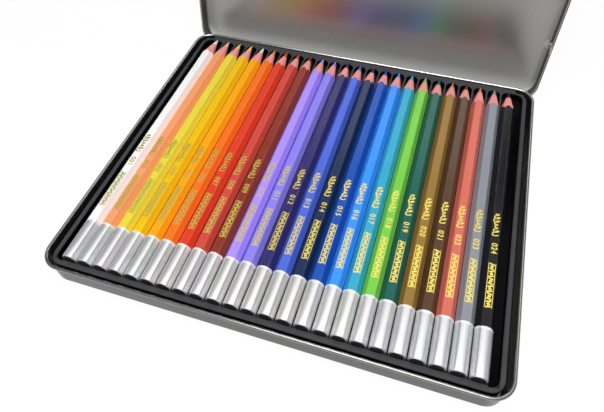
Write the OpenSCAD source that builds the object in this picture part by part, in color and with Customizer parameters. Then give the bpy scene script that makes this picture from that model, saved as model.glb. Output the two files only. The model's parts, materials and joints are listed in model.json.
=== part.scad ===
// Hinged steel pencil tin, lid open, with a formed tray and a row of hexagonal colouring pencils.
// X runs along the row, Y to the hinge, Z up. The origin is the middle of the base's underside.

/* [Pencils] */
// Number of pencils in the row
pencil_count = 24; // [4:1:24]
// Length of a pencil, blunt end to point
pencil_length = 175; // [120:1:200]
// Width across a pencil's flats
pencil_flats = 7; // [6:0.1:9]
// Gap between the edges of two neighbours
pencil_gap = 0.12; // [0.12:0.01:1]
// Half angle of the sharpened cone
cone_half_angle = 12.2; // [9:0.1:16]
// Diameter of the coloured core
core_d = 3; // [2:0.1:4]
// Diameter left at the very point
point_d = 0.6; // [0.2:0.1:1.2]
// Length of the dipped end
dip_length = 22; // [8:0.5:40]
// How far the dip stands out from each flat
dip_build = 0.14; // [0.05:0.01:0.2]
// Depth of the dip over the blunt end
dip_end = 0.5; // [0.2:0.1:1]
// Radius around the dip's outer corners
dip_edge = 0.6; // [0.2:0.1:1]

/* [Tin] */
// Height of the base, table to rim
base_h = 15; // [13:0.5:30]
// Thickness of the sheet steel
sheet = 0.3; // [0.2:0.05:0.4]
// Diameter of the rim rolled outwards
bead_d = 1.7; // [1.2:0.1:2.4]
// Radius of the rim's corners, seen from above
rim_corner = 10.5; // [9:0.5:16]
// Radius of the edge between floor and wall
floor_edge = 1.6; // [1:0.1:2.5]

/* [Tray] */
// Thickness of the tray's film
film = 0.5; // [0.3:0.05:0.7]
// Height of the tray's deck above the tin's floor
deck_h = 13.5; // [9:0.5:24]
// Depth of the pencil channels below the deck
channel_depth = 2.5; // [1.5:0.1:3]
// Width of the crest between two channels
crest = 0.9; // [0.9:0.05:1]
// Width of the raised ridge round the tray
ridge_w = 2.4; // [2:0.1:4]
// Radius on the ridge's two top edges
ridge_edge = 0.9; // [0.6:0.05:0.95]
// Room between the tray's foot and the floor's edge at the sides
foot_room_side = 1; // [0.1:0.1:4]
// Room between the tray's foot and the floor's edge at the front
foot_room_front = 0.1; // [0.1:0.1:4]
// Room between the tray's foot and the floor's edge at the back
foot_room_back = 0.5; // [0.1:0.1:4]
// Room beside the outer pencils
side_room = 4.4; // [1:0.1:12]
// Room in front of the blunt ends
end_room = 0.6; // [0.5:0.05:3]
// Room behind the points
point_room = 1.45; // [0.5:0.05:4]
// Depth of the scallops before the blunt ends
scallop = 0.35; // [0.1:0.05:0.45]
// Length of the straight-walled pockets behind the shoulders
pocket_length = 13; // [6:0.5:14]

/* [Lid] */
// Angle the lid stands open
lid_open = 100.6; // [60:0.1:105]
// Gap between rim and lid, all round
lid_gap = 0.55; // [0.3:0.05:1]
// Diameter of the lid's inward hem
hem_d = 1.35; // [1:0.05:2]
// How far the lid slips over the base
lid_overlap = 4.6; // [3:0.1:6]
// Room over the pencils when shut
head_room = 0.5; // [0.3:0.1:8]
// Radius of the edge between lid wall and panel
panel_edge = 4; // [2:0.1:5]
// Distance of each dimple from the lid's back
dimple_from_back = 38; // [20:0.5:60]
// Radius of a dimple's foot
dimple_foot = 2.6; // [1.5:0.1:2.7]
// Depth of a dimple
dimple_depth = 2; // [1:0.1:2.4]
// Distance of a dimple's middle from the lid's top
dimple_drop = 2.9; // [2.7:0.1:3.1]

/* [Hinges] */
// Distance between the middles of the two hinges
hinge_span = 124; // [60:1:150]
// Height of the lid's hem above the hinge axis, lid shut
hinge_drop = 4.2; // [3:0.1:5]
// Width of a hinge over its three knuckles
hinge_w = 24; // [15:0.5:36]
// Width of the middle knuckle
mid_knuckle = 9; // [5:0.5:13]
// Gap between two knuckles
knuckle_gap = 0.25; // [0.15:0.05:0.5]
// Diameter of the hinge pin
pin_d = 1.6; // [1:0.1:2]
// Clearance round the pin
pin_fit = 0.05; // [0.02:0.01:0.1]

/* [Hidden] */
$fn = 72;
tiny = 0.01;                 // overlap that joins shapes of one solid
rest_gap = 0.05;             // between a pencil's dip and the channel floor
dip_side_gap = 0.06;         // between two neighbours' dips
slope = 30;                  // of a hexagon's lower flats, from upright
glue_gap = 0.02;             // between core and casing
past = 1;                    // how far a cutter runs past what it cuts
wood_lip = 0.3;              // that the wood stops short of the core's cone

// Pencils
pencil_r = pencil_flats / 2 / cos(30);
pitch = 2 * pencil_r + pencil_gap;
dip_flats = pencil_flats + 2 * dip_build;
dip_r = pitch / 2 - dip_side_gap / 2;
cone_length = pencil_r / tan(cone_half_angle);
core_r = core_d / 2;
bare_core = (core_r - point_d / 2) / tan(cone_half_angle);
casing_length = pencil_length - bare_core - wood_lip;
row_half = (pencil_count - 1) / 2 * pitch + pencil_r;

// Plan, from the row outwards
edge_start = bead_d - sheet + floor_edge;   // from the rim's outside to the flat of the floor
side_inset = edge_start + foot_room_side;
front_inset = edge_start + foot_room_front;
back_inset = edge_start + foot_room_back;
tin_w = 2 * (row_half + side_room + ridge_w + side_inset);
front_margin = front_inset + ridge_w + end_room;
lip_gap = 0.2;               // between the tray's back lip and the tin's wall
arch_wall = 0.65;            // behind the pockets' round ends
arch_gap = 0.5;              // between that and the tray's back wall
back_margin = back_inset + film + arch_gap + arch_wall + point_room;
tin_d = front_margin + pencil_length + back_margin;
wall_y = tin_d / 2 - bead_d; // inside of the base's back wall
blunt_y = front_margin - tin_d / 2;
point_y = blunt_y + pencil_length;

// Heights
deck_z = sheet + deck_h;
channel_z = deck_z - channel_depth;
axis_z = channel_z + rest_gap + dip_flats / 2;

// Tray
tray_x = tin_w / 2 - side_inset;
tray_front = front_inset - tin_d / 2;
tray_back = tin_d / 2 - back_inset;
tray_corner = rim_corner - side_inset;
well_x = tray_x - ridge_w;
well_corner = tray_corner - ridge_w;
channel_half = (pitch - crest) / 2;
channel_run = channel_depth * tan(slope);
arch_end = point_y + point_room;
arch_y = arch_end - channel_half;
pocket_y = arch_y - pocket_length;
rib_x = [for (i = [1 : pencil_count - 1]) (i - pencil_count / 2) * pitch];

// Lid, shut
hem_z = base_h - lid_overlap;
lid_h = axis_z + dip_flats / 2 + head_room + sheet - hem_z;
lid_out = lid_gap + hem_d;
lid_w = tin_w + 2 * lid_out;
lid_d = tin_d + 2 * lid_out;
lid_corner = rim_corner + lid_out;

// Hinges, in the plane of the base's back wall
bore_r = pin_d / 2 + pin_fit;
knuckle_r = bore_r + sheet;
hinge_y = wall_y + sheet / 2;
hinge_z = hem_z - hinge_drop;
side_knuckle = (hinge_w - mid_knuckle) / 2 - knuckle_gap;
head_t = 0.4;                // thickness of the pin's heads
head_lip = 0.35;             // that they stand out from the pin
head_r = pin_d / 2 + head_lip;

// Straps from the lid's hem to its knuckles, measured from the axis, lid shut
hem_y = (lid_d - hem_d) / 2 - hinge_y;
hem_up = hinge_drop + hem_d / 2;
strap_turn = atan2(hem_up, hem_y) - acos((knuckle_r - hem_d / 2) / norm([hem_y, hem_up]));
strap_swing = 0.35;          // that the open lid's straps reach below the knuckles
slot_drop = knuckle_r + strap_swing + knuckle_gap;

metal = "silver";
lacquers = [
    "#f5f5f5", "#f5a06d", "#e7d642", "#efc012", "#f5a812", "#f57421", "#df4228", "#d04c40",
    "#8c3728", "#ac90f5", "#8b82ea", "#322c6a", "#4c68d7", "#122a52", "#124eaf", "#3892f5",
    "#31a6c9", "#75ca49", "#125d52", "#947130", "#553a25", "#d56c5c", "#898e97", "#121217"
];
leads = [
    "#f6f2e8", "#f5c9a0", "#e3dc4a", "#f0cf40", "#f6ead0", "#f58a3c", "#e2452f", "#cf4a3e",
    "#8a3430", "#a98df0", "#8880e4", "#3a3364", "#4c66d2", "#1c2e56", "#2850aa", "#3a8ee8",
    "#36a6c4", "#72c64a", "#14605a", "#9c7830", "#604434", "#d26a5a", "#868c96", "#1c1c20"
];

function two_digits(i) = str(i < 10 ? "0" : "", i);
function pencil_x(i) = (i - (pencil_count + 1) / 2) * pitch;

// A quarter of a ring in the plane, from +X round to +Y
module quarter_ring(outer, inner) {
    intersection() {
        difference() {
            circle(r = outer);
            circle(r = inner);
        }
        square(outer);
    }
}

// Sweeps a profile round a rectangle with round corners. The profile's X points out of the
// rectangle and is 0 on it, and its Y points up.
module sweep_round(w, d, corner) {
    for (q = [0 : 3]) {
        across = q % 2 == 0 ? w : d;
        along = q % 2 == 0 ? d : w;
        rotate([0, 0, 90 * q]) {
            translate([across / 2, along / 2 - corner, 0])
                rotate([90, 0, 0])
                    linear_extrude(along - 2 * corner) children();
            translate([across / 2 - corner, along / 2 - corner, 0])
                rotate_extrude(angle = 90)
                    translate([corner, 0]) children();
        }
    }
}

// Wall of the base: flat floor strip, round edge, upright sheet, rim rolled outwards
module base_profile() {
    wall_x = -bead_d;
    curl_r = bead_d / 2;
    translate([-rim_corner, 0]) square([rim_corner + wall_x + sheet - floor_edge, sheet]);
    translate([wall_x + sheet - floor_edge, floor_edge])
        mirror([0, 1]) quarter_ring(floor_edge, floor_edge - sheet);
    translate([wall_x, floor_edge]) square([sheet, base_h - curl_r - floor_edge]);
    translate([-curl_r, base_h - curl_r]) difference() {
        circle(r = curl_r);
        circle(r = curl_r - sheet);
        translate([sheet - curl_r, -curl_r]) square([sheet, curl_r]);
    }
}

// Wall of the lid: hem rolled inwards, upright sheet, round edge, flat panel strip
module lid_profile() {
    curl_r = hem_d / 2;
    translate([-curl_r, curl_r]) difference() {
        circle(r = curl_r);
        circle(r = curl_r - sheet);
        translate([curl_r - 2 * sheet, 0]) square([sheet, curl_r]);
    }
    translate([-sheet, curl_r]) square([sheet, lid_h - panel_edge - curl_r]);
    translate([-panel_edge, lid_h - panel_edge]) quarter_ring(panel_edge, panel_edge - sheet);
    translate([-lid_corner, lid_h - sheet]) square([lid_corner - panel_edge, sheet]);
}

// Section of the tray's border: an upside-down channel, its outer wall standing on the tin
module ridge_profile() {
    difference() {
        ridge_shape(0, sheet);
        ridge_shape(film, sheet - past);
    }
}

module ridge_shape(inside, foot) {
    edge = ridge_edge - inside;
    top = deck_z - inside;
    translate([inside - ridge_w, foot]) square([ridge_w - 2 * inside, top - edge - foot]);
    translate([inside - ridge_w + edge, top - edge - tiny])
        square([ridge_w - 2 * (inside + edge), edge + tiny]);
    for (x = [inside - ridge_w + edge, -inside - edge])
        translate([x, top - edge]) circle(r = edge);
}

// One knuckle: a barrel along X, centred on the hinge axis
module barrel(width) {
    rotate([0, 90, 0]) cylinder(h = width, r = knuckle_r, center = true);
}

module hinge_bores() {
    for (side = [-1, 1])
        translate([side * hinge_span / 2, 0, 0])
            rotate([0, 90, 0]) cylinder(h = hinge_w + past, r = bore_r, center = true);
}

// Places children at the middles of the outer knuckles, their X away from the hinge's middle
module at_side_knuckles() {
    for (side = [-1, 1], half = [0, 1])
        translate([side * hinge_span / 2, 0, 0]) mirror([half, 0, 0])
            translate([(hinge_w - side_knuckle) / 2, 0, 0]) children();
}

module base_tin() {
    color(metal) difference() {
        union() {
            sweep_round(tin_w, tin_d, rim_corner) base_profile();
            translate([rim_corner - tin_w / 2, rim_corner - tin_d / 2, 0])
                cube([tin_w - 2 * rim_corner, tin_d - 2 * rim_corner, sheet]);
            translate([0, hinge_y, hinge_z]) at_side_knuckles() barrel(side_knuckle);
        }
        translate([0, hinge_y, hinge_z]) {
            hinge_bores();
            hinge_slots();
        }
    }
}

// Slots in the back wall for the lid's knuckles and straps, and for the pins' heads
module hinge_slots() {
    slot_w = mid_knuckle + 2 * knuckle_gap;
    for (side = [-1, 1]) translate([side * hinge_span / 2 - slot_w / 2, -sheet, -slot_drop])
        cube([slot_w, 2 * sheet, slot_drop + knuckle_r + knuckle_gap]);
    half = head_r + knuckle_gap;
    at_side_knuckles() translate([side_knuckle / 2, -sheet, -half])
        cube([rest_gap + head_t + knuckle_gap, 2 * sheet, 2 * half]);
}

// The lid as it lies shut, before it swings
module shut_lid() {
    difference() {
        union() {
            translate([0, 0, hem_z]) {
                sweep_round(lid_w, lid_d, lid_corner) lid_profile();
                translate([lid_corner - lid_w / 2, lid_corner - lid_d / 2, lid_h - sheet])
                    cube([lid_w - 2 * lid_corner, lid_d - 2 * lid_corner, sheet]);
            }
            translate([0, hinge_y, hinge_z]) for (side = [-1, 1])
                translate([side * hinge_span / 2, 0, 0]) {
                    barrel(mid_knuckle);
                    strap(mid_knuckle);
                }
            for (side = [-1, 1]) at_dimple(side) dimple_skin();
        }
        for (side = [-1, 1]) at_dimple(side) sphere(r = dimple_r - sheet);
        translate([0, hinge_y, hinge_z]) hinge_bores();
    }
}

// Flat strap that leaves the knuckle and the hem along their outsides
module strap(width) {
    rotate([90, 0, 90]) linear_extrude(width, center = true) hull()
        for (ring = [[0, 0, knuckle_r], [hem_y, hem_up, hem_d / 2]])
            translate([ring[0], ring[1]]) rotate(strap_turn)
                translate([ring[2] - sheet / 2, 0]) circle(d = sheet, $fn = 12);
}

// A dimple is a cap of this sphere, pressed in from outside
dimple_r = (dimple_foot * dimple_foot + dimple_depth * dimple_depth) / (2 * dimple_depth);

module at_dimple(side) {
    translate([side * (lid_w / 2 - sheet - dimple_depth + dimple_r),
               lid_d / 2 - dimple_from_back, hem_z + lid_h - dimple_drop])
        rotate([0, 0, side < 0 ? 180 : 0]) children();
}

module dimple_skin() {
    intersection() {
        sphere(r = dimple_r);
        translate([-dimple_r - past, -dimple_r - past, -dimple_r - past])
            cube([past + dimple_depth + sheet / 2, 2 * (dimple_r + past), 2 * (dimple_r + past)]);
    }
}

module lid() {
    color(metal)
        translate([0, hinge_y, hinge_z])
            rotate([-lid_open, 0, 0])
                translate([0, -hinge_y, -hinge_z]) shut_lid();
}

// Top of the channels' film, left to right, and its underside, right to left
rib_top = [for (x = rib_x) each [
    [x - crest / 2 - channel_run, channel_z], [x - crest / 2, deck_z],
    [x + crest / 2, deck_z], [x + crest / 2 + channel_run, channel_z]
]];
lean = film * tan(slope);
rib_under = [for (i = [len(rib_x) - 1 : -1 : 0]) let (x = rib_x[i]) each [
    [x + crest / 2 + channel_run - lean, channel_z - film], [x + crest / 2 - lean, deck_z - film],
    [x - crest / 2 + lean, deck_z - film], [x - crest / 2 - channel_run + lean, channel_z - film]
]];
well_edge = well_x + film / 2;

// Draws a section in X and Z, from one Y to another
module along_y(from, to) {
    translate([0, to, 0]) rotate([90, 0, 0]) linear_extrude(to - from) children();
}

module channels() {
    along_y(tray_front + ridge_w - film / 2, pocket_y)
        polygon(concat([[-well_edge, channel_z]], rib_top, [[well_edge, channel_z],
            [well_edge, channel_z - film]], rib_under, [[-well_edge, channel_z - film]]));
    along_y(pocket_y - film, pocket_y)
        polygon(concat([[-well_edge, channel_z]], rib_top, [[well_edge, channel_z],
            [well_edge, channel_z - film], [-well_edge, channel_z - film]]));
}

// Solid strip behind the shoulders that the pockets are cut from
module pocket_block() {
    back = arch_end + arch_wall;
    translate([-well_edge, pocket_y - tiny, channel_z - film])
        cube([2 * well_edge, back - pocket_y + tiny, deck_z - channel_z + film]);
}

module pockets() {
    depth = channel_depth + past;
    for (i = [1 : pencil_count]) translate([pencil_x(i), 0, channel_z]) {
        translate([-channel_half, pocket_y - past, 0])
            cube([2 * channel_half, arch_y - pocket_y + past, depth]);
        translate([0, arch_y, 0]) cylinder(h = depth, r = channel_half);
    }
    // the wells beside the outer pencils, with round corners at the back
    reach = well_x - pencil_x(pencil_count);
    for (side = [-1, 1]) translate([side * pencil_x(pencil_count), 0, channel_z])
        mirror([side < 0 ? 1 : 0, 0, 0]) {
            translate([0, pocket_y - past, 0])
                cube([reach, arch_end - well_corner - pocket_y + past, depth]);
            translate([0, arch_end - well_corner - tiny, 0])
                cube([reach - well_corner, well_corner + tiny, depth]);
            translate([reach - well_corner, arch_end - well_corner, 0])
                cylinder(h = depth, r = well_corner);
        }
}

// Strip on the front ridge with one shallow scallop for each pencil
module scallops() {
    edge_y = tray_front + ridge_w;
    strip = end_room - 2 * rest_gap;
    scallop_r = (channel_half * channel_half + scallop * scallop) / (2 * scallop);
    difference() {
        translate([-row_half, edge_y - film, deck_z - film]) cube([2 * row_half, film + strip, film]);
        for (i = [1 : pencil_count])
            translate([pencil_x(i), edge_y + strip - scallop + scallop_r, deck_z - film - past])
                cylinder(h = film + 2 * past, r = scallop_r);
    }
}

module tray() {
    lip_y = wall_y - lip_gap;
    color("#1b1b1d") difference() {
        union() {
            translate([0, (tray_front + tray_back) / 2, 0])
                sweep_round(2 * tray_x, tray_back - tray_front, tray_corner) ridge_profile();
            channels();
            pocket_block();
            scallops();
            translate([-row_half, tray_back - film, deck_z - film])
                cube([2 * row_half, lip_y - tray_back + film, film]);
        }
        pockets();
    }
}

module hinge_pin(side) {
    color("gainsboro") translate([side * hinge_span / 2, hinge_y, hinge_z]) rotate([0, 90, 0]) {
        cylinder(h = hinge_w + 2 * (rest_gap + head_t), d = pin_d, center = true);
        for (end = [-1, 1])
            translate([0, 0, end * (hinge_w / 2 + rest_gap + head_t / 2)])
                cylinder(h = head_t, r = head_r, center = true);
    }
}

// Lays children, drawn along Z from a pencil's blunt end, in a channel
module lay_pencil(i) {
    translate([pencil_x(i), blunt_y, axis_z]) rotate([-90, 0, 0]) children();
}

module pencil(i) {
    dip_hex = dip_flats / 2 / cos(30);
    color(lacquers[i - 1]) lay_pencil(i) difference() {
        union() {
            intersection() {
                cylinder(h = casing_length, r = pencil_r, $fn = 6);
                sharpened();
            }
            intersection() {
                cylinder(h = dip_length, r = dip_hex, $fn = 6);
                rotate_extrude() dip_half();
            }
        }
        translate([0, 0, dip_end]) cylinder(h = pencil_length, r = core_r);
    }
}

// A round bar that ends in the sharpened cone
module sharpened() {
    apex_z = pencil_length + point_d / 2 / tan(cone_half_angle);
    cylinder(h = apex_z - cone_length + tiny, r = pencil_r + past);
    translate([0, 0, apex_z - cone_length]) cylinder(h = cone_length, r1 = pencil_r, r2 = 0);
}

// Half section of the round bar that limits the dip, with rounded ends
module dip_half() {
    square([dip_r - dip_edge, dip_length]);
    translate([0, dip_edge]) square([dip_r, dip_length - 2 * dip_edge]);
    for (z = [dip_edge, dip_length - dip_edge]) translate([dip_r - dip_edge, z]) circle(r = dip_edge);
}

module lead(i) {
    shank = pencil_length - bare_core - dip_end;
    color(leads[i - 1]) lay_pencil(i) translate([0, 0, dip_end]) {
        cylinder(h = shank, r = core_r - glue_gap);
        translate([0, 0, shank]) cylinder(h = bare_core, r1 = core_r - glue_gap, r2 = point_d / 2);
    }
}

base_tin();
lid();
tray();
hinge_pin(-1);  // hinge_pin_left
hinge_pin(1);  // hinge_pin_right
for (i = [1 : pencil_count]) {
    pencil(i);
    lead(i);
}
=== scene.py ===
"""Hinged steel pencil tin with a tray of colouring pencils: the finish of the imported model."""

import json
import math

import bmesh
import bpy
from bpy.props import (
    CollectionProperty,
    FloatProperty,
    FloatVectorProperty,
    IntProperty,
    PointerProperty,
)
from mathutils import Matrix, Vector


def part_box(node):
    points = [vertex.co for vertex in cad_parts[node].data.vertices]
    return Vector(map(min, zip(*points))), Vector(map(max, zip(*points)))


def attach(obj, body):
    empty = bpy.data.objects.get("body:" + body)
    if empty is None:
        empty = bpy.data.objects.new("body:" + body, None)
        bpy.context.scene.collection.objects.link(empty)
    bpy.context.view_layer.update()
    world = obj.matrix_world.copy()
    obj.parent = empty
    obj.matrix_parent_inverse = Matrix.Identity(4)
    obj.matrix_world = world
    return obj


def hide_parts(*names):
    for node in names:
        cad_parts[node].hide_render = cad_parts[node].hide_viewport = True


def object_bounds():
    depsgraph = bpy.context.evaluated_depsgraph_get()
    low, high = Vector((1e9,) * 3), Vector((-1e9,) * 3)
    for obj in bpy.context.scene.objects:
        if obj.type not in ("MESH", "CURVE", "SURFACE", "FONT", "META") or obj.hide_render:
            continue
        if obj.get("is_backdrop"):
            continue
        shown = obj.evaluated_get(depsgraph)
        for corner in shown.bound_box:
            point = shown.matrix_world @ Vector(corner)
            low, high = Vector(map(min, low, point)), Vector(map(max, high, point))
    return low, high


bl_info = {
    "name": "Pencil Tin",
    "version": (1, 0, 0),
    "blender": (4, 5, 0),
    "location": "3D View > Sidebar > Pencil Tin",
    "description": "Finishes a hinged steel tin, its tray and its colouring pencils",
    "category": "Object",
}

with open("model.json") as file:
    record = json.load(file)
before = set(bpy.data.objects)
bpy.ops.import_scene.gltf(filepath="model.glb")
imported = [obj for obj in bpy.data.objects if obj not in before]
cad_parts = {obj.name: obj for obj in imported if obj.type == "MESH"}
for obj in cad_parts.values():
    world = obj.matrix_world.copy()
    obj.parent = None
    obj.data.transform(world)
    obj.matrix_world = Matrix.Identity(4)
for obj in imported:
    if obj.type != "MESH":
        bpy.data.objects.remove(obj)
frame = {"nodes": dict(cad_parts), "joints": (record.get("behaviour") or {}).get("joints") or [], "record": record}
CAD_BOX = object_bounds()
MM = 0.001
NODE_SPACING = 180
NODES = frame["nodes"]
SLOT_COLOURS = {m["slot"]: m["base_color"] for m in frame["record"]["materials"]}
NUMBERS = sorted(name[-2:] for name in NODES if name.startswith("pencil_"))
HINGE = next(j for j in frame["joints"] if j["name"] == "lid_hinge")
PENCIL_BOXES = {n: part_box("pencil_" + n) for n in NUMBERS}
CORE_BOXES = {n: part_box("lead_" + n) for n in NUMBERS}
STEEL, TRAY_BLACK, WIRE = (SLOT_COLOURS[s] for s in ("tin_steel", "tray_plastic", "pin_steel"))


def linear(colour):
    """A screen colour as the shader takes it."""
    return [c / 12.92 if c <= 0.04045 else ((c + 0.055) / 1.055) ** 2.4 for c in colour]


def colour_property(name, description, screen):
    return FloatVectorProperty(
        name=name,
        description=description,
        subtype="COLOR",
        size=3,
        min=0,
        max=1,
        default=linear(screen),
    )


def length_property(name, description, millimetres):
    return FloatProperty(
        name=name,
        description=description,
        subtype="DISTANCE",
        unit="LENGTH",
        min=0,
        precision=5,
        default=millimetres * MM,
    )


def share_property(name, description, value):
    return FloatProperty(
        name=name, description=description, subtype="FACTOR", min=0, max=1, default=value
    )


# ---------------------------------------------------------------- settings


class TinFinish(bpy.types.PropertyGroup):
    """Finish of the tin, its pins and its tray"""

    steel: colour_property("Steel", "Colour of the bare tinplate", STEEL)
    steel_roughness: share_property("Steel roughness", "How matt the tinplate is", 0.25)
    grain: share_property("Grain", "How much of the brushed grain shows", 0.6)
    wire: colour_property("Wire", "Colour of the hinge pins", WIRE)
    tray: colour_property("Tray", "Colour of the formed sheet", TRAY_BLACK)
    # colour of the tray's high faces, rubbed and painted lighter as if lit
    scuff_and_lit_top: colour_property("Scuffs", "Colour of the tray's rubbed high faces", (0.36, 0.36, 0.38))


class PencilColour(bpy.types.PropertyGroup):
    """Colours of one pencil"""

    lacquer: colour_property("Lacquer", "Colour of the casing", (0.5, 0.5, 0.5))
    core: colour_property("Core", "Colour of the core", (0.5, 0.5, 0.5))


class PencilFinish(bpy.types.PropertyGroup):
    """Shape and finish of the pencils"""

    colours: CollectionProperty(type=PencilColour)
    flats: length_property("Across flats", "Width of the casing across its flats", 7)
    corner: length_property("Corner radius", "Radius along the casing's edges", 0.6)
    dip_length: length_property("Dip length", "Length of the dipped end", 22)
    dip_build: length_property("Dip build", "Thickness of the dip on each flat", 0.14)
    dip_edge: length_property("Dip edge", "Radius round the blunt end", 0.6)
    dip_lip: length_property("Dip lip", "Length of the dip's rounded lip", 0.9)
    dip_droop: length_property("Dip droop", "How far the dip ends short on the edges", 0.4)
    dip_reach: length_property("Dip reach", "Largest radius of the dip", 4.07)
    dip_roundness: share_property("Dip roundness", "How far the dip rounds off the edges", 0.65)
    cone_angle: FloatProperty(
        name="Cone angle",
        description="Half angle of the sharpened cone",
        subtype="ANGLE",
        unit="ROTATION",
        default=math.radians(12.2),
    )
    core_width: length_property("Core", "Diameter of the core", 3)
    point_width: length_property("Point", "Diameter left at the point", 0.6)
    off_centre: length_property("Off centre", "How far a cone may be cut off its axis", 0.12)
    seed: IntProperty(name="Seed", description="Start of the uneven cuts", default=7)
    dip: colour_property("Dip", "Colour of the metallic dip", (0.91, 0.91, 0.91))
    dip_end: colour_property("Blunt end", "Colour of the blunt end's face", (0.13, 0.13, 0.14))
    wood: colour_property("Wood", "Colour of the sharpened wood", (0.96, 0.62, 0.6))


class FoilFinish(bpy.types.PropertyGroup):
    """Marks stamped in foil on each pencil"""

    foil: colour_property("Foil", "Colour of the foil", (1.0, 0.92, 0.45))
    thickness: length_property("Thickness", "How far the foil stands up", 0.03)
    flourish_start: length_property("Flourish start", "From the blunt end to the flourish", 68.5)
    flourish_length: length_property("Flourish length", "Length of the flourish", 13)
    number_start: length_property("Number start", "From the blunt end to the number", 56.5)
    number_height: length_property("Number height", "Height of the digits", 3.6)
    border_start: length_property("Border start", "From the blunt end to the border", 30.5)
    border_length: length_property("Border length", "Length of the border", 22.5)
    border_width: length_property("Border width", "Width of the border", 3.3)


class StageSettings(bpy.types.PropertyGroup):
    """Floor, light and camera"""

    floor: colour_property("Floor", "Colour of the floor", (0.97, 0.97, 0.97))
    lamp_power: FloatProperty(
        name="Lamp", description="Power of the overhead lamp", unit="POWER", default=10.3
    )
    side_power: FloatProperty(
        name="Side lamp", description="Power of the lamp behind", unit="POWER", default=1.6
    )
    ambient: FloatProperty(name="Ambient", description="Level of the light all round", default=0.08)
    lens: FloatProperty(name="Lens", description="Focal length of the camera, in mm", default=30.81)


class PencilTinSettings(bpy.types.PropertyGroup):
    """All that a user may change"""

    tin: PointerProperty(type=TinFinish)
    pencils: PointerProperty(type=PencilFinish)
    foil: PointerProperty(type=FoilFinish)
    stage: PointerProperty(type=StageSettings)


# ---------------------------------------------------------------- node graphs


class Value:
    """A node's output. Arithmetic on it adds Math nodes."""

    def __init__(self, graph, socket):
        self.graph, self.socket = graph, socket

    def maths(self, operation, *values):
        return self.graph.add("ShaderNodeMath", {"operation": operation}, enumerate(values))

    def output(self, name):
        """Another output of the same node."""
        return Value(self.graph, self.socket.node.outputs[name])

    def __add__(self, other):
        return self.maths("ADD", self, other)

    def __sub__(self, other):
        return self.maths("SUBTRACT", self, other)

    def __rsub__(self, other):
        return self.maths("SUBTRACT", other, self)

    def __mul__(self, other):
        return self.maths("MULTIPLY", self, other)

    def __truediv__(self, other):
        return self.maths("DIVIDE", self, other)

    def __abs__(self):
        return self.maths("ABSOLUTE", self)

    __radd__ = __add__
    __rmul__ = __mul__


class Graph:
    """A node tree under construction."""

    def __init__(self, tree):
        self.tree = tree

    def add(self, kind, settings=None, inputs=(), output=0):
        """Adds a node, sets it up, then feeds its sockets by name or by number."""
        node = self.tree.nodes.new(kind)
        node.location.x = NODE_SPACING * len(self.tree.nodes)
        for name, value in (settings or {}).items():
            setattr(node, name, value)
        free = [socket for socket in node.inputs if socket.enabled]
        for key, value in dict(inputs).items():
            socket = free[key] if isinstance(key, int) else next(s for s in free if s.name == key)
            if isinstance(value, Value):
                self.tree.links.new(value.socket, socket)
            else:
                socket.default_value = value
        made = [socket for socket in node.outputs if socket.enabled]
        if not made:
            return None
        return Value(self, made[output] if isinstance(output, int) else node.outputs[output])

    def vector(self, x, y, z):
        return self.add("ShaderNodeCombineXYZ", inputs={"X": x, "Y": y, "Z": z})

    def parts(self, vector):
        """The X, Y and Z of a vector."""
        x = self.add("ShaderNodeSeparateXYZ", inputs={"Vector": vector})
        return x, x.output("Y"), x.output("Z")

    def vector_maths(self, operation, *values, output=0):
        return self.add("ShaderNodeVectorMath", {"operation": operation}, enumerate(values), output)

    def noise(self, place, scale, detail=2.0, roughness=0.5):
        """Smooth noise from 0 to 1, with this many waves to the metre. A scale of three
        numbers stretches it."""
        if not isinstance(scale, (int, float)):
            place, scale = self.vector_maths("MULTIPLY", place, scale), 1.0
        return self.add(
            "ShaderNodeTexNoise",
            inputs={"Vector": place, "Scale": scale, "Detail": detail, "Roughness": roughness},
        )

    def chance(self, number):
        """A random colour for each number, always the same one."""
        return self.add(
            "ShaderNodeTexWhiteNoise", {"noise_dimensions": "1D"}, {"W": number}, output="Color"
        )

    def ease(self, value, low, high):
        """0 below low, 1 above high, smooth between."""
        return self.add(
            "ShaderNodeMapRange",
            {"interpolation_type": "SMOOTHSTEP"},
            {"Value": value, "From Min": low, "From Max": high},
        )

    def mix(self, share, first, second):
        """A colour between two."""
        first, second = (c if isinstance(c, Value) else (*c[:3], 1.0) for c in (first, second))
        return self.add("ShaderNodeMix", {"data_type": "RGBA"}, {0: share, 1: first, 2: second})

    def shade(self, colour, factor):
        """A colour, lighter or darker."""
        return self.add(
            "ShaderNodeVectorMath", {"operation": "SCALE"}, {0: colour, "Scale": factor}
        )


class Finish(Graph):
    """A material's node tree."""

    def __init__(self, name):
        self.material = bpy.data.materials.new(name)
        self.material.use_nodes = True
        super().__init__(self.material.node_tree)
        self.tree.nodes.clear()
        place = self.add("ShaderNodeTexCoord", output="Object")
        self.place, self.facing = place, place.output("Normal")

    def surface(self, colour, relief, roughness, metallic=0.0, specular=0.5):
        """The material, from the shader's values and a relief in metres."""
        bump = self.add("ShaderNodeBump", inputs={"Distance": 1.0, "Height": relief})
        shader = self.add(
            "ShaderNodeBsdfPrincipled",
            inputs={
                "Base Color": colour,
                "Roughness": roughness,
                "Metallic": metallic,
                "Specular IOR Level": specular,
                "Normal": bump,
            },
        )
        self.add("ShaderNodeOutputMaterial", inputs={"Surface": shader})
        return self.material


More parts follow.
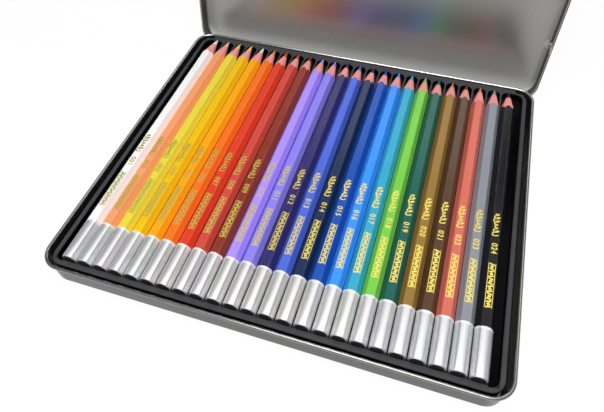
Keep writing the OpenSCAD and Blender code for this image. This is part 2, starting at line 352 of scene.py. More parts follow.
class Shape(Graph):
    """A geometry tree with named inputs, used for several pieces."""

    def __init__(self, name, **inputs):
        super().__init__(bpy.data.node_groups.new(name, "GeometryNodeTree"))
        for label, kind in inputs.items():
            self.socket(label.replace("_", " "), "INPUT", kind)
        self.socket("Geometry", "OUTPUT", "Geometry")
        self.inputs = self.tree.nodes.new("NodeGroupInput")

    def socket(self, name, in_out, kind):
        self.tree.interface.new_socket(name, in_out=in_out, socket_type="NodeSocket" + kind)

    def given(self, name):
        return Value(self, self.inputs.outputs[name])

    def joined(self, pieces):
        node = self.tree.nodes.new("GeometryNodeJoinGeometry")
        for piece in pieces:
            self.tree.links.new(piece.socket, node.inputs[0])
        return Value(self, node.outputs[0])

    def sealed(self, bands):
        """The bands as one skin, closed where their ends meet."""
        seam = {"Geometry": self.joined(bands), "Distance": 2e-6}
        return self.add("GeometryNodeMergeByDistance", inputs=seam)

    def placed(self, geometry):
        """The geometry at its place, with its instances made real."""
        moved = {"Geometry": geometry, "Offset": self.given("Place")}
        moved = self.add("GeometryNodeSetPosition", inputs=moved)
        return self.add("GeometryNodeRealizeInstances", inputs={"Geometry": moved})

    def coated(self, geometry, finish, faces=True):
        """The geometry with a finish on these faces."""
        return self.add(
            "GeometryNodeSetMaterial",
            inputs={"Geometry": geometry, "Selection": faces, "Material": self.given(finish)},
        )

    def finish(self, geometry):
        self.add("NodeGroupOutput", inputs={"Geometry": geometry})

    def grow(self, name, **values):
        """A plain mesh object made from these values."""
        piece = bpy.data.objects.new(name, bpy.data.meshes.new(name))
        bpy.context.scene.collection.objects.link(piece)
        modifier = piece.modifiers.new("Shape", "NODES")
        modifier.node_group = self.tree
        for item in self.tree.interface.items_tree:
            if item.in_out == "INPUT":
                modifier[item.identifier] = values[item.name.replace(" ", "_")]
        depsgraph = bpy.context.evaluated_depsgraph_get()
        grown = bpy.data.meshes.new_from_object(piece.evaluated_get(depsgraph), depsgraph=depsgraph)
        piece.modifiers.clear()
        piece.data = grown
        face_outwards(grown)
        return piece


def face_outwards(mesh):
    """Points the faces outwards, and creases steep edges and the edges between finishes."""
    steepest = math.radians(32)
    shell = bmesh.new()
    shell.from_mesh(mesh)
    bmesh.ops.recalc_face_normals(shell, faces=shell.faces)
    for face in shell.faces:
        face.smooth = True
    for edge in shell.edges:
        steep = edge.calc_face_angle(0.0) > steepest
        edge.smooth = not steep and len({face.material_index for face in edge.link_faces}) == 1
    shell.to_mesh(mesh)
    shell.free()


# ---------------------------------------------------------------- finishes


def shut(graph, swing):
    """A place on the lid and the way it faces, once the lid is turned shut by swing."""
    turn = {"rotation_type": "X_AXIS"}
    centre = HINGE["pos_m"]
    place = {"Vector": graph.place, "Center": centre, "Angle": swing}
    facing = {"Vector": graph.facing, "Angle": swing}
    return [graph.add("ShaderNodeVectorRotate", turn, inputs) for inputs in (place, facing)]


def brushed_steel(name, tin, middle, rim=None, reach=None, swing=0.0):
    """Tinplate, bare inside and brushed outside, the grain round its walls, and darkened
    low on the outside as painted shade. middle lies inside the closed tin, and swing turns
    an opened lid shut. A rim at this height is worn bright, which also paints in its
    highlight. A panel that reaches this far from the middle is matt along its edges and
    gets painted light and shade on its panel, its inside walls and its dimple."""
    graph = Finish(name)
    place, facing = shut(graph, swing) if swing else (graph.place, graph.facing)
    height = graph.parts(place)[2]
    away = graph.vector_maths("SUBTRACT", place, middle)
    inside = graph.ease(graph.vector_maths("DOT_PRODUCT", away, facing, output="Value"), 0, -MM)
    level = graph.ease(abs(graph.parts(facing)[2]), 0.5, 0.8)
    round_walls = graph.noise(place, (30.0, 30.0, 1700.0), 4, 0.7)
    across_panel = graph.noise(place, (30.0, 1700.0, 30.0), 4, 0.7)
    brush = across_panel * level + round_walls * (1 - level)
    cloud = graph.noise(place, 36.0, 3)
    wave = graph.noise(place, (9.0, 26.0, 26.0), 1)
    # painted shade: the outside is darker low down, standing in for the floor's shadow that it would reflect there
    painted_low_shade = (1 - inside) * (1 - graph.ease(height, 8 * MM, 22 * MM))
    deep = tin.grain * (1 - 0.9 * inside)
    tone = 0.62 + 0.38 * inside + deep * 0.34 * (brush - 0.5) + 0.12 * (cloud - 0.5)
    # painted shade low on the outside
    tone = tone * (1 - 0.72 * painted_low_shade)
    metallic = 0.7 + 0.25 * inside
    if rim:
        # worn bright along the rim, which also paints in the rim's highlight
        tone = tone + 0.4 * graph.ease(height, rim - 1.6 * MM, rim - 0.8 * MM)
    if reach:
        tone, metallic = lid_panel_with_painted_light(graph, tone, metallic, away, reach, inside, level)
    return graph.surface(
        graph.shade(tin.steel, tone),
        deep * 2e-6 * brush + 2e-5 * wave,
        tin.steel_roughness + deep * 0.2 * (brush - 0.5) + 0.12 * (cloud - 0.5),
        metallic,
    )


def lid_panel_with_painted_light(graph, tone, metallic, away, reach, inside, level):
    """The lid's tone and metal look, with painted light and shade. Its panel is matt along
    its edges and painted pale near its hinge and far edges as painted light, its walls
    inside are darkened as painted shade, and its dimple is painted pale as a painted
    highlight."""
    dimple_inward, dimple_along, dimple_radius = 1.5 * MM, 35.4 * MM, 3.2 * MM
    spread = graph.vector_maths("ABSOLUTE", away)
    x, y, _ = graph.parts(graph.vector_maths("SUBTRACT", reach, spread))
    near = x.maths("MINIMUM", 1.6 * x, y)
    panel = inside * level
    # painted shade: the lid's inside walls are darkened
    tone = tone * (1 - 0.5 * (inside - panel))
    # painted light: the panel is lighter near its hinge and far edges
    tone = tone * (1 + 1.1 * panel * (1 - graph.ease(y, 1 * MM, 14 * MM)))
    metallic = metallic - 0.9 * panel * (1 - graph.ease(near, 5 * MM, 42 * MM))
    along = graph.parts(away)[1]
    off = graph.vector(x - dimple_inward, along - reach[1] + dimple_along, 0.0)
    off = graph.vector_maths("LENGTH", off, output="Value")
    # painted highlight: the dimple is made pale and less metallic
    painted_highlight = inside * (1 - graph.ease(off, 1.8 * MM, dimple_radius))
    return tone * (1 - painted_highlight) + 1.6 * painted_highlight, metallic * (1 - painted_highlight)


def drawn_wire(name, colour):
    """Bright wire with drawing lines along it."""
    graph = Finish(name)
    lines = graph.noise(graph.place, (90.0, 6000.0, 6000.0), 2)
    spots = graph.noise(graph.place, 900.0, 3)
    tone = graph.shade(colour, 0.8 + 0.25 * lines)
    return graph.surface(tone, 1.5e-6 * lines, 0.22 + 0.15 * lines + 0.1 * spots, metallic=1.0)


def formed_sheet(name, tin, low, high):
    """Black formed sheet, rubbed grey and painted lighter as if lit on the faces level with
    its top, and painted darker in its wells as painted shade. The strip before the pencils'
    ends gets less of that grey than the ridge round the edge. low and high are the corners
    of its box."""
    graph = Finish(name)
    x, y, height = graph.parts(graph.place)
    level = graph.ease(height, high.z - 1.1 * MM, high.z - 0.3 * MM)
    forward = y - low.y
    inward = x.maths("MINIMUM", high.x - abs(x), forward)
    strip = graph.ease(inward, 2.1 * MM, 2.9 * MM) * (1 - graph.ease(forward, 9 * MM, 13 * MM))
    rub = graph.noise(graph.place, (260.0, 190.0, 260.0), 4, 0.6)
    peel = graph.noise(graph.place, 900.0, 2)
    dust = graph.ease(graph.noise(graph.place, 5200.0, 1), 0.68, 0.78)
    dust_grey = (0.35, 0.35, 0.36)
    # the faces level with the top are partly scuffed and partly painted lighter where light falls on them; the
    # strip before the pencils' ends gets less
    wear_and_painted_light = level * (1 - 0.7 * strip) * (0.4 + 0.3 * rub)
    tone = graph.mix(wear_and_painted_light, tin.tray, tin.scuff_and_lit_top)
    # painted shade: the sheet is darkened below the faces level with its top, down in its wells
    tone = graph.shade(tone, 0.4 + 0.6 * level)
    return graph.surface(
        graph.mix(0.12 * dust, tone, dust_grey),
        4e-6 * peel + 1.5e-6 * dust,
        0.14 + 0.3 * wear_and_painted_light + 0.08 * rub,
        specular=0.04,
    )


def lacquer(name, colour, axis):
    """Gloss lacquer, a little thin along the casing's edges."""
    graph = Finish(name)
    flat_radius, edge_radius, bare = 3.66 * MM, 3.92 * MM, (0.8, 0.78, 0.75)
    x, _, z = graph.parts(graph.vector_maths("SUBTRACT", graph.place, axis))
    radius = graph.vector_maths("LENGTH", graph.vector(x, 0.0, z), output="Value")
    edge = graph.ease(radius, flat_radius, edge_radius)
    pull = graph.noise(graph.place, (820.0, 11.0, 820.0), 3)
    cloud = graph.noise(graph.place, 240.0, 3, 0.6)
    rub = graph.ease(graph.noise(graph.place, (1400.0, 120.0, 1400.0), 3), 0.56, 0.72)
    tone = graph.shade(colour, 0.88 + 0.12 * pull + 0.08 * cloud)
    return graph.surface(
        graph.mix(edge * (0.01 + 0.06 * rub), tone, bare),
        5e-6 * pull + 1.2e-6 * cloud,
        0.2 + 0.1 * cloud + 0.1 * edge + 0.06 * rub,
        specular=0.28,
    )


def silver_dip(name, colour, pitch, row_start, lip_y):
    """Metallic paint with fine flakes, thick and pale along its lip. The pencils lie a
    pitch apart from row_start on, and each one's coat differs a little."""
    graph = Finish(name)
    x, y, _ = graph.parts(graph.place)
    place_in_row = (x - row_start) / pitch
    which = place_in_row.maths("FLOOR", place_in_row)
    batch = graph.chance(which)
    flakes = graph.noise(graph.place, 3800.0, 2, 0.7)
    runs = graph.noise(graph.place, (700.0, 60.0, 700.0), 3)
    lip = graph.ease(y + 0.3 * MM * runs, lip_y - 1.5 * MM, lip_y - 0.8 * MM)
    white = (1.0, 1.0, 1.0)
    tone = graph.mix(0.045, colour, batch)
    tone = graph.shade(tone, 0.88 + 0.12 * flakes + 0.12 * runs)
    return graph.surface(
        graph.mix(0.6 * lip, tone, white),
        3e-6 * flakes + 6e-6 * runs,
        0.34 + 0.14 * flakes + 0.08 * runs,
        metallic=0.8 - 0.5 * lip,
    )


def blunt_end(name, colour):
    """Dark face of the blunt end, streaked with saw marks."""
    graph = Finish(name)
    saw = graph.noise(graph.place, (2200.0, 300.0, 500.0), 3)
    return graph.surface(graph.shade(colour, 0.6 + 0.8 * saw), 1.2e-5 * saw, 0.45 + 0.2 * saw)


def cedar(name, colour):
    """Pinkish softwood, cut by a sharpener."""
    graph = Finish(name)
    fibres = graph.noise(graph.place, (2600.0, 55.0, 2600.0), 4, 0.6)
    bands = graph.noise(graph.place, (420.0, 14.0, 420.0), 2)
    chatter = graph.noise(graph.place, (120.0, 3600.0, 120.0), 2)
    pores = graph.ease(graph.noise(graph.place, (5200.0, 320.0, 5200.0), 2), 0.62, 0.74)
    dark = [c * 0.62 for c in colour]
    tone = graph.mix(0.25 * bands + 0.3 * fibres, colour, dark)
    return graph.surface(
        graph.shade(tone, 1.06 - 0.22 * pores),
        5e-6 * fibres + 4e-6 * chatter - 6e-6 * pores,
        0.62 + 0.16 * fibres,
        specular=0.3,
    )


def pigment_core(name, colour):
    """Waxy coloured core with crumbs and rubbed streaks."""
    graph = Finish(name)
    crumbs = graph.noise(graph.place, 2400.0, 4, 0.65)
    streaks = graph.noise(graph.place, (1500.0, 130.0, 1500.0), 2)
    tone = graph.shade(colour, 0.82 + 0.2 * crumbs + 0.14 * streaks)
    return graph.surface(tone, 9e-6 * crumbs, 0.5 + 0.18 * crumbs, specular=0.4)


def stamped_foil(name, colour):
    """Gold foil, dulled where it didn't take."""
    graph = Finish(name)
    lift = graph.ease(graph.noise(graph.place, 1300.0, 4, 0.65), 0.5, 0.7)
    crinkle = graph.noise(graph.place, 2800.0, 3)
    dull = [c * 0.55 for c in colour]
    tone = graph.mix(0.6 * lift, colour, dull)
    return graph.surface(tone, 5e-6 * crinkle, 0.3 + 0.22 * lift + 0.1 * crinkle, metallic=0.75)


# ---------------------------------------------------------------- shapes


def band(shape, profile, rings, place):
    """Sweeps the profile through rings. place gives a point from its t, from 0 to 1, and
    from its place x, z and distance r on the profile."""
    rail = shape.add("GeometryNodeCurvePrimitiveLine", inputs={"End": (0, 1, 0)})
    rail = shape.add("GeometryNodeResampleCurve", inputs={"Curve": rail, "Count": rings})
    skin = shape.add("GeometryNodeCurveToMesh", inputs={"Curve": rail, "Profile Curve": profile})
    x, t, z = shape.parts(shape.add("GeometryNodeInputPosition"))
    r = shape.vector_maths("LENGTH", shape.vector(x, 0.0, z), output="Value")
    spot = place(t, x, z, r)
    return shape.add("GeometryNodeSetPosition", inputs={"Geometry": skin, "Position": spot})


def rounded_hexagon(shape, half, corner):
    """A hexagon with rounded corners, half as wide as this across its flats, which are cut
    up so that they follow a cone as closely as the corners do."""
    corner_points, flat_cuts = 7, 9
    hexagon = shape.add(
        "GeometryNodeCurvePrimitiveCircle",
        inputs={"Resolution": 6, "Radius": half * (1 / math.cos(math.radians(30)))},
    )
    hexagon = shape.add(
        "GeometryNodeFilletCurve",
        {"mode": "POLY"},
        {"Curve": hexagon, "Count": corner_points, "Radius": corner},
    )
    index = shape.add("GeometryNodeInputIndex")
    in_corner = index.maths("MODULO", index, corner_points + 1)
    flat = in_corner.maths("GREATER_THAN", in_corner, corner_points - 0.5)
    return shape.add(
        "GeometryNodeSubdivideCurve", inputs={"Curve": hexagon, "Cuts": flat * flat_cuts}
    )


def casing_shape():
    """A hexagonal casing: bored, dipped at the blunt end and sharpened at the other."""
    shape = Shape(
        "Pencil casing",
        Place="Vector",
        Length="Float",
        Casing_Length="Float",
        Across_Flats="Float",
        Corner_Radius="Float",
        Dip_Length="Float",
        Dip_Build="Float",
        Dip_Edge="Float",
        Dip_Lip="Float",
        Dip_Droop="Float",
        Dip_Reach="Float",
        Dip_Roundness="Float",
        Cone_Angle="Float",
        Bore_Radius="Float",
        Bore_Start="Float",
        Point_Radius="Float",
        Off_Centre="Float",
        Seed="Int",
        End_Finish="Material",
        Dip_Finish="Material",
        Lacquer="Material",
        Wood="Material",
    )
    given = shape.given
    half = given("Across Flats") * 0.5
    edge_rise = 0.13  # how much farther out the edges are than the flats
    swell = 0.04 * MM  # how much farther out paint stands where it rounds off
    hexagon = rounded_hexagon(shape, half, given("Corner Radius"))
    taper = given("Cone Angle").maths("TANGENT", given("Cone Angle"))
    apex = given("Length") + given("Point Radius") / taper
    build, edge, lip = given("Dip Build"), given("Dip Edge"), given("Dip Lip")
    reach, bore = given("Dip Reach"), given("Bore Radius")
    start, end = given("Bore Start"), given("Casing Length")
    quarter = math.pi / 2

    def coat(x, z, r, thickness, stay=1.0):
        """The profile, thicker by this much, rounded off and kept within the dip's reach."""
        soft = given("Dip Roundness") * stay
        scale = (half + thickness) / half * (1 - soft) + soft * (half + thickness + swell) / r
        scale = scale.maths("MINIMUM", scale, reach / r)
        return x * scale, z * scale

    def dip_end(r):
        """Where the dip ends: farther on the flats than on the edges between them."""
        return given("Dip Length") - given("Dip Droop") * (r - half) / (half * edge_rise)

    def end_face(t, x, z, r):
        wide, high = coat(x, z, r, build - edge)
        return shape.vector(wide * t, 0.0, high * t)

    def end_edge(t, x, z, r):
        turn = t * quarter
        wide, high = coat(x, z, r, build - edge * (1 - turn.maths("SINE", turn)))
        return shape.vector(wide, edge * (1 - turn.maths("COSINE", turn)), high)

    def dip_side(t, x, z, r):
        wide, high = coat(x, z, r, build)
        return shape.vector(wide, edge + (dip_end(r) - lip - edge) * t, high)

    def dip_lip(t, x, z, r):
        turn = t * quarter
        left = turn.maths("COSINE", turn)
        wide, high = coat(x, z, r, build * left, left)
        return shape.vector(wide, dip_end(r) - lip * (1 - turn.maths("SINE", turn)), high)

    uneven = shape.vector_maths("SUBTRACT", shape.chance(given("Seed")), (0.5, 0.5, 0.5))
    lean_x, lean_z, _ = shape.parts(uneven)
    lean_x, lean_z = (lean * 2 * given("Off Centre") for lean in (lean_x, lean_z))

    def shoulder(x, z):
        """Where the cone meets the casing's side."""
        away = shape.vector(x - lean_x, 0.0, z - lean_z)
        return apex - shape.vector_maths("LENGTH", away, output="Value") / taper

    def side(t, x, z, r):
        dipped = dip_end(r)
        return shape.vector(x, dipped + (shoulder(x, z) - dipped) * t, z)

    def cone(t, x, z, r):
        meets = shoulder(x, z)
        y = meets + (end - meets) * t
        shrink = (apex - y) / (apex - meets)
        stay = 1 - t
        return shape.vector(
            lean_x * stay + (x - lean_x) * shrink, y, lean_z * stay + (z - lean_z) * shrink
        )

    def mouth(t, x, z, r):
        wide = (apex - end) * taper
        scale = (wide + (bore - wide) * t) / r
        return shape.vector(x * scale, end, z * scale)

    def bore_side(t, x, z, r):
        return shape.vector(x * bore / r, end + (start - end) * t, z * bore / r)

    def bore_end(t, x, z, r):
        scale = bore / r * (1 - t)
        return shape.vector(x * scale, start, z * scale)

    regions = [
        ("End Finish", [(end_face, 3)]),
        ("Dip Finish", [(end_edge, 6), (dip_side, 4), (dip_lip, 6)]),
        ("Lacquer", [(side, 4)]),
        ("Wood", [(cone, 18), (mouth, 2), (bore_side, 2), (bore_end, 2)]),
    ]
    skins = []
    for number, (_, bands) in enumerate(regions):
        for place, rings in bands:
            skin = band(shape, hexagon, rings, place)
            skins.append(
                shape.add(
                    "GeometryNodeStoreNamedAttribute",
                    {"data_type": "INT", "domain": "FACE"},
                    {"Geometry": skin, "Name": "region", "Value": number},
                )
            )
    whole = shape.placed(shape.sealed(skins))
    region = shape.add("GeometryNodeInputNamedAttribute", {"data_type": "INT"}, {"Name": "region"})
    equal = {"data_type": "INT", "operation": "EQUAL"}
    for number, (finish, _) in enumerate(regions):
        chosen = shape.add("FunctionNodeCompare", equal, {0: region, 1: number})
        whole = shape.coated(whole, finish, chosen)
    shape.finish(whole)
    return shape


def core_shape():
    """A round core with a tapered, rounded point."""
    shape = Shape(
        "Pencil core",
        Place="Vector",
        Start="Float",
        Shank_End="Float",
        Length="Float",
        Radius="Float",
        Point_Radius="Float",
        Finish="Material",
    )
    given = shape.given
    circle = shape.add("GeometryNodeCurvePrimitiveCircle", inputs={"Resolution": 40, "Radius": MM})
    start, shank, tip = given("Start"), given("Shank End"), given("Length")
    radius, point = given("Radius"), given("Point Radius")
    nose = point * 0.7

    def ring(x, z, r, wide, y):
        return shape.vector(x * wide / r, y, z * wide / r)

    def back(t, x, z, r):
        return ring(x, z, r, radius * t, start)

    def side(t, x, z, r):
        return ring(x, z, r, radius, start + (shank - start) * t)

    def taper(t, x, z, r):
        return ring(x, z, r, radius + (point - radius) * t, shank + (tip - nose - shank) * t)

    def round_nose(t, x, z, r):
        turn = t * (math.pi / 2)
        wide = point * turn.maths("COSINE", turn)
        return ring(x, z, r, wide, tip - nose * (1 - turn.maths("SINE", turn)))

    bands = [(back, 2), (side, 2), (taper, 12), (round_nose, 7)]
    whole = shape.sealed([band(shape, circle, rings, place) for place, rings in bands])
    shape.finish(shape.coated(shape.placed(whole), "Finish"))
    return shape


def flourish(shape, thick):
    """A slanted row of loops, some tall and some low."""
    loops, swells, first = 6.5, 1.6, 0.6
    low_loop, added, tall_loop = 0.5 * MM, 0.95 * MM, 0.75 * MM
    slant, pen_width = 0.45, 0.46 * MM
    line = shape.add("GeometryNodeCurvePrimitiveLine", inputs={"End": (0, 1, 0)})
    line = shape.add("GeometryNodeResampleCurve", inputs={"Curve": line, "Count": 150})
    t = shape.parts(shape.add("GeometryNodeInputPosition"))[1]
    turn, beat = t * (2 * math.pi * loops), t * (2 * math.pi * swells) + first
    tall = 0.5 + 0.5 * beat.maths("SINE", beat)
    across = (low_loop + added * tall) * turn.maths("COSINE", turn)
    along = shape.given("Flourish Length") * t - tall_loop * turn.maths("SINE", turn)
    along = shape.given("Flourish Start") + (along + slant * across)
    line = shape.add(
        "GeometryNodeSetPosition",
        inputs={"Geometry": line, "Position": shape.vector(across, along, 0.0)},
    )
    line = shape.add("GeometryNodeSetCurveNormal", {"mode": "Z_UP"}, {"Curve": line})
    pen = {"Width": pen_width, "Height": thick * 2}
    pen = shape.add("GeometryNodeCurvePrimitiveQuadrilateral", inputs=pen)
    sweep = {"Curve": line, "Profile Curve": pen, "Scale": 0.8 + 0.5 * tall, "Fill Caps": True}
    return shape.add("GeometryNodeCurveToMesh", inputs=sweep)


def digits(shape, thick):
    """Filled digits with a stroke round them, which read towards the blunt end."""
    stroke_width, number_length = 0.2 * MM, 7.5 * MM
    curves = shape.add(
        "GeometryNodeStringToCurves",
        {"align_x": "LEFT", "align_y": "MIDDLE"},
        {
            "String": shape.given("Number"),
            "Size": shape.given("Number Height"),
            "Character Spacing": 1.15,
        },
    )
    curves = shape.add("GeometryNodeRealizeInstances", inputs={"Geometry": curves})
    stroke = {"Width": stroke_width, "Height": thick * 1.9}
    stroke = shape.add("GeometryNodeCurvePrimitiveQuadrilateral", inputs=stroke)
    outlines = {"Curve": curves, "Profile Curve": stroke}
    outlines = shape.add("GeometryNodeCurveToMesh", inputs=outlines)
    faces = shape.add("GeometryNodeFillCurve", inputs={"Curve": curves})
    faces = shape.add(
        "GeometryNodeExtrudeMesh",
        inputs={"Mesh": faces, "Offset": (0, 0, 1), "Offset Scale": thick, "Individual": False},
    )
    return shape.add(
        "GeometryNodeTransform",
        inputs={
            "Geometry": shape.joined([faces, outlines]),
            "Translation": shape.vector(0.0, shape.given("Number Start") + number_length, 0.0),
            "Rotation": (0, 0, math.radians(-90)),
        },
    )


def border(shape, thick):
    """Two rails, and between them a zigzag of bars with a lozenge in every third place."""
    rail_width, bar_width, lozenge_radius = 0.3 * MM, 0.76 * MM, 0.9 * MM
    count, slant = 18, math.radians(16)
    wide, long = shape.given("Border Width"), shape.given("Border Length")
    low = shape.given("Border Start")
    pieces = []
    for side in (-0.5, 0.5):
        rail = shape.vector(rail_width, long, thick * 2)
        rail = shape.add("GeometryNodeMeshCube", inputs={"Size": rail})
        middle = shape.vector((wide - rail_width) * side, low + long * 0.5, 0.0)
        moved = {"Geometry": rail, "Translation": middle}
        pieces.append(shape.add("GeometryNodeTransform", inputs=moved))
    pitch = long / count
    dots = shape.add(
        "GeometryNodeMeshLine",
        inputs={
            "Count": count,
            "Start Location": shape.vector(0.0, low + pitch * 0.5, 0.0),
            "Offset": shape.vector(0.0, pitch, 0.0),
        },
    )
    bar = shape.vector(wide * 0.7, bar_width, thick * 2)
    bar = shape.add("GeometryNodeMeshCube", inputs={"Size": bar})
    lozenge = {"Vertices": 4, "Radius": lozenge_radius, "Depth": thick * 2}
    lozenge = shape.add("GeometryNodeMeshCylinder", inputs=lozenge)
    index = shape.add("GeometryNodeInputIndex")
    lean = 1 - 2 * index.maths("MODULO", index, 2)
    every_third = index.maths("COMPARE", index.maths("MODULO", index, 3), 1.0, 0.1)
    for chosen, mark in ((every_third, lozenge), (1 - every_third, bar)):
        pieces.append(
            shape.add(
                "GeometryNodeInstanceOnPoints",
                inputs={
                    "Points": dots,
                    "Selection": chosen,
                    "Instance": mark,
                    "Rotation": shape.vector(0.0, 0.0, lean * slant),
                },
            )
        )
    return pieces


def foil_shape():
    """Foil marks on a casing's top flat: a flourish, a number and a border of bars."""
    shape = Shape(
        "Foil marks",
        Place="Vector",
        Thickness="Float",
        Flourish_Start="Float",
        Flourish_Length="Float",
        Number="String",
        Number_Start="Float",
        Number_Height="Float",
        Border_Start="Float",
        Border_Length="Float",
        Border_Width="Float",
        Finish="Material",
    )
    thick = shape.given("Thickness")
    marks = shape.joined([flourish(shape, thick), digits(shape, thick), *border(shape, thick)])
    shape.finish(shape.coated(shape.placed(marks), "Finish"))
    return shape


def blunt_centre(number, flats, build):
    """The middle of a pencil's blunt end."""
    low, high = PENCIL_BOXES[number]
    return Vector(((low.x + high.x) / 2, low.y, low.z + build + flats / 2))


# ---------------------------------------------------------------- operators


def settings(context):
    return context.scene.pencil_tin


def finish_node(name, material):
    """Gives a node of the model its finish."""
    mesh = NODES[name].data
    mesh.materials.clear()
    mesh.materials.append(material)


class PENCILTIN_OT_steel(bpy.types.Operator):
    """Finish the base, the lid and the hinge pins in steel"""

    bl_idname = "pencil_tin.steel"
    bl_label = "Steel Tin"

    def execute(self, context):
        tin = settings(context).tin
        opened = -math.radians(HINGE["range_deg"][0])
        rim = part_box("base_tin")[1].z
        middle = (0.0, 0.0, rim / 2)
        low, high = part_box("lid")
        reach = (high.x, (high.z - low.z) / 2, 0.0)
        finish_node("base_tin", brushed_steel("base_steel", tin, middle, rim=rim))
        finish_node("lid", brushed_steel("lid_steel", tin, middle, reach=reach, swing=opened))
        wire = drawn_wire("pin_wire", tin.wire)
        for side in ("left", "right"):
            finish_node("hinge_pin_" + side, wire)
        return {"FINISHED"}


class PENCILTIN_OT_tray(bpy.types.Operator):
    """Finish the tray in black formed sheet"""

    bl_idname = "pencil_tin.tray"
    bl_label = "Tray"

    def execute(self, context):
        finish_node("tray", formed_sheet("tray_sheet", settings(context).tin, *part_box("tray")))
        return {"FINISHED"}


class PENCILTIN_OT_casings(bpy.types.Operator):
    """Make the pencils' dipped, lacquered and sharpened casings"""

    bl_idname = "pencil_tin.casings"
    bl_label = "Casings"

    def execute(self, context):
        pencils = settings(context).pencils
        shape = casing_shape()
        centres = {n: blunt_centre(n, pencils.flats, pencils.dip_build) for n in NUMBERS}
        first, blunt_y, _ = centres[NUMBERS[0]]
        pitch = (centres[NUMBERS[-1]].x - first) / (len(NUMBERS) - 1)
        lip_y = blunt_y + pencils.dip_length
        dip = silver_dip("silver_dip", pencils.dip, pitch, first - pitch / 2, lip_y)
        end = blunt_end("blunt_end", pencils.dip_end)
        wood = cedar("cedar", pencils.wood)
        for number, colour in zip(NUMBERS, pencils.colours):
            centre = centres[number]
            low, high = PENCIL_BOXES[number]
            core_low, core_high = CORE_BOXES[number]
            piece = shape.grow(
                "casing_" + number,
                Place=centre,
                Length=core_high.y - low.y,
                Casing_Length=high.y - low.y,
                Across_Flats=pencils.flats,
                Corner_Radius=pencils.corner,
                Dip_Length=pencils.dip_length,
                Dip_Build=pencils.dip_build,
                Dip_Edge=pencils.dip_edge,
                Dip_Lip=pencils.dip_lip,
                Dip_Droop=pencils.dip_droop,
                Dip_Reach=pencils.dip_reach,
                Dip_Roundness=pencils.dip_roundness,
                Cone_Angle=pencils.cone_angle,
                Bore_Radius=pencils.core_width / 2,
                Bore_Start=core_low.y - low.y,
                Point_Radius=pencils.point_width / 2,
                Off_Centre=pencils.off_centre,
                Seed=pencils.seed + int(number),
                End_Finish=end,
                Dip_Finish=dip,
                Lacquer=lacquer("lacquer_" + number, colour.lacquer, centre),
                Wood=wood,
            )
            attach(piece, "pencil_" + number)
            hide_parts("pencil_" + number)
        return {"FINISHED"}


class PENCILTIN_OT_cores(bpy.types.Operator):
    """Make the pencils' coloured cores"""

    bl_idname = "pencil_tin.cores"
    bl_label = "Cores"

    def execute(self, context):
        pencils = settings(context).pencils
        shape = core_shape()
        for number, colour in zip(NUMBERS, pencils.colours):
            low, high = CORE_BOXES[number]
            centre = blunt_centre(number, pencils.flats, pencils.dip_build)
            point = pencils.point_width / 2
            taper = (pencils.core_width / 2 - point) / math.tan(pencils.cone_angle)
            piece = shape.grow(
                "core_" + number,
                Place=centre,
                Start=low.y - centre.y,
                Shank_End=high.y - centre.y - taper,
                Length=high.y - centre.y,
                Radius=(high.x - low.x) / 2,
                Point_Radius=point,
                Finish=pigment_core("pigment_" + number, colour.core),
            )
            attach(piece, "pencil_" + number)
            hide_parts("lead_" + number)
        return {"FINISHED"}


class PENCILTIN_OT_foil(bpy.types.Operator):
    """Stamp the foil marks on the pencils"""

    bl_idname = "pencil_tin.foil"
    bl_label = "Foil Marks"

    def execute(self, context):
        marks, pencils = settings(context).foil, settings(context).pencils
        shape = foil_shape()
        finish = stamped_foil("gold_foil", marks.foil)
        for number in NUMBERS:
            centre = blunt_centre(number, pencils.flats, pencils.dip_build)
            piece = shape.grow(
                "foil_" + number,
                Place=centre + Vector((0, 0, pencils.flats / 2)),
                Thickness=marks.thickness,
                Flourish_Start=marks.flourish_start,
                Flourish_Length=marks.flourish_length,
                Number="0" + number,
                Number_Start=marks.number_start,
                Number_Height=marks.number_height,
                Border_Start=marks.border_start,
                Border_Length=marks.border_length,
                Border_Width=marks.border_width,
                Finish=finish,
            )
            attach(piece, "pencil_" + number)
        return {"FINISHED"}


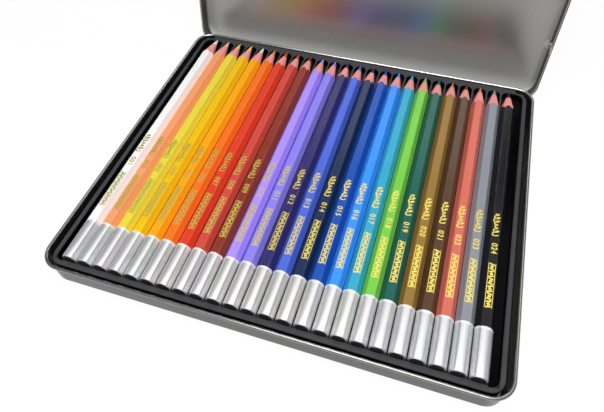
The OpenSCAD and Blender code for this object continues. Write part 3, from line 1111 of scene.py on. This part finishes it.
class PENCILTIN_OT_stage(bpy.types.Operator):
    """Set up the floor, the light and the camera"""

    bl_idname = "pencil_tin.stage"
    bl_label = "Stage"

    def execute(self, context):
        stage = settings(context).stage
        scene = context.scene
        self.floor(scene, stage)
        self.light(scene, stage)
        self.camera(scene, stage)
        scene.view_settings.view_transform = "Standard"
        return {"FINISHED"}

    def floor(self, scene, stage):
        """A pale floor just below the tin. A camera or a mirror sees it nearly white, and
        what is left of its own colour takes the shadows."""
        size, below, whitened = 4.0, -0.15 * MM, 0.94
        mesh = bpy.data.meshes.new("floor")
        corners = [(x * size, y * size, below) for x, y in ((-1, -1), (1, -1), (1, 1), (-1, 1))]
        mesh.from_pydata(corners, [], [(0, 1, 2, 3)])
        floor = bpy.data.objects.new("floor", mesh)
        scene.collection.objects.link(floor)
        floor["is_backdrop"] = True
        graph = Finish("pale_floor")
        paper = {"Color": (*stage.floor, 1.0), "Roughness": 0.5}
        paper = graph.add("ShaderNodeBsdfDiffuse", inputs=paper)
        white = {"Color": (1, 1, 1, 1), "Strength": 1.0}
        white = graph.add("ShaderNodeEmission", inputs=white)
        camera = graph.add("ShaderNodeLightPath", output="Is Camera Ray")
        seen = camera.maths("MAXIMUM", camera, camera.output("Is Glossy Ray"))
        seen = seen.maths("MAXIMUM", seen, camera.output("Is Transmission Ray"))
        shader = {0: seen * whitened, 1: paper, 2: white}
        shader = graph.add("ShaderNodeMixShader", inputs=shader)
        graph.add("ShaderNodeOutputMaterial", inputs={"Surface": shader})
        mesh.materials.append(graph.material)

    def light(self, scene, stage):
        """Light from all round, brighter at the horizon, and two soft lamps."""
        horizon, horizon_top, sky_bottom = 0.4, 0.03, 0.35
        world = bpy.data.worlds.new("studio")
        scene.world = world
        world.use_nodes = True
        graph = Graph(world.node_tree)
        graph.tree.nodes.clear()
        height = graph.parts(graph.add("ShaderNodeTexCoord", output="Generated"))[2]
        up = graph.ease(height, horizon_top, sky_bottom)
        level = horizon - (horizon - stage.ambient) * up
        sky = {"Color": (1, 1, 1, 1), "Strength": level}
        sky = graph.add("ShaderNodeBackground", inputs=sky)
        graph.add("ShaderNodeOutputWorld", inputs={"Surface": sky})
        self.lamp(scene, "overhead", (0.05, -0.33, 0.9), (0.6, 0.7), stage.lamp_power)
        self.lamp(scene, "side", (0.3, 0.5, 0.9), (1.0, 0.4), stage.side_power)

    def lamp(self, scene, name, spot, size, power):
        """A soft lamp that shines straight down."""
        lamp = bpy.data.lights.new(name, "AREA")
        lamp.shape, lamp.size, lamp.size_y = "RECTANGLE", *size
        lamp.energy = power
        holder = bpy.data.objects.new(name, lamp)
        holder.location = spot
        scene.collection.objects.link(holder)

    def camera(self, scene, stage):
        """A camera above the tin's front edge that looks back over the pencils."""
        place = (0.05298, -0.16956, 0.22631)
        ahead = Vector((-0.20576, 0.58840, -0.78195)).normalized()
        right = Vector((0.95310, 0.30171, -0.02376)).normalized()
        lens = bpy.data.cameras.new("camera")
        lens.sensor_fit, lens.sensor_width, lens.lens = "HORIZONTAL", 36.0, stage.lens
        lens.shift_x, lens.shift_y = -0.0035, -0.0428
        lens.clip_start = 0.01
        holder = bpy.data.objects.new("camera", lens)
        scene.collection.objects.link(holder)
        turn = Matrix((right, right.cross(ahead), -ahead)).transposed()
        holder.matrix_world = Matrix.Translation(place) @ turn.to_4x4()
        scene.camera = holder


class PENCILTIN_PT_sidebar(bpy.types.Panel):
    """Steps and settings of the pencil tin"""

    bl_label = "Pencil Tin"
    bl_idname = "PENCILTIN_PT_sidebar"
    bl_space_type = "VIEW_3D"
    bl_region_type = "UI"
    bl_category = "Pencil Tin"

    def draw(self, context):
        for step in STEPS:
            self.layout.operator(step.bl_idname)
        for name in ("tin", "pencils", "foil", "stage"):
            group = getattr(settings(context), name)
            box = self.layout.box()
            box.label(text=name.title())
            for prop in group.bl_rna.properties:
                if prop.identifier not in ("name", "rna_type", "colours"):
                    box.prop(group, prop.identifier)


STEPS = (
    PENCILTIN_OT_stage,
    PENCILTIN_OT_steel,
    PENCILTIN_OT_tray,
    PENCILTIN_OT_casings,
    PENCILTIN_OT_cores,
    PENCILTIN_OT_foil,
)
CLASSES = (
    TinFinish,
    PencilColour,
    PencilFinish,
    FoilFinish,
    StageSettings,
    PencilTinSettings,
    *STEPS,
    PENCILTIN_PT_sidebar,
)


def register():
    for cls in CLASSES:
        bpy.utils.register_class(cls)
    bpy.types.Scene.pencil_tin = PointerProperty(type=PencilTinSettings)


def unregister():
    del bpy.types.Scene.pencil_tin
    for cls in reversed(CLASSES):
        bpy.utils.unregister_class(cls)


def main():
    register()
    colours = bpy.context.scene.pencil_tin.pencils.colours
    for number in NUMBERS:
        colour = colours.add()
        colour.lacquer = linear(SLOT_COLOURS["lacquer_" + number])
        colour.core = linear(SLOT_COLOURS["core_" + number])
    bpy.ops.pencil_tin.stage()
    bpy.ops.pencil_tin.steel()
    bpy.ops.pencil_tin.tray()
    bpy.ops.pencil_tin.casings()
    bpy.ops.pencil_tin.cores()
    bpy.ops.pencil_tin.foil()
    boxes = {"cad": CAD_BOX, "visual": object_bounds()}
    {name: [list(corner) for corner in box] for name, box in boxes.items()}


if __name__ == "__main__":
    main()
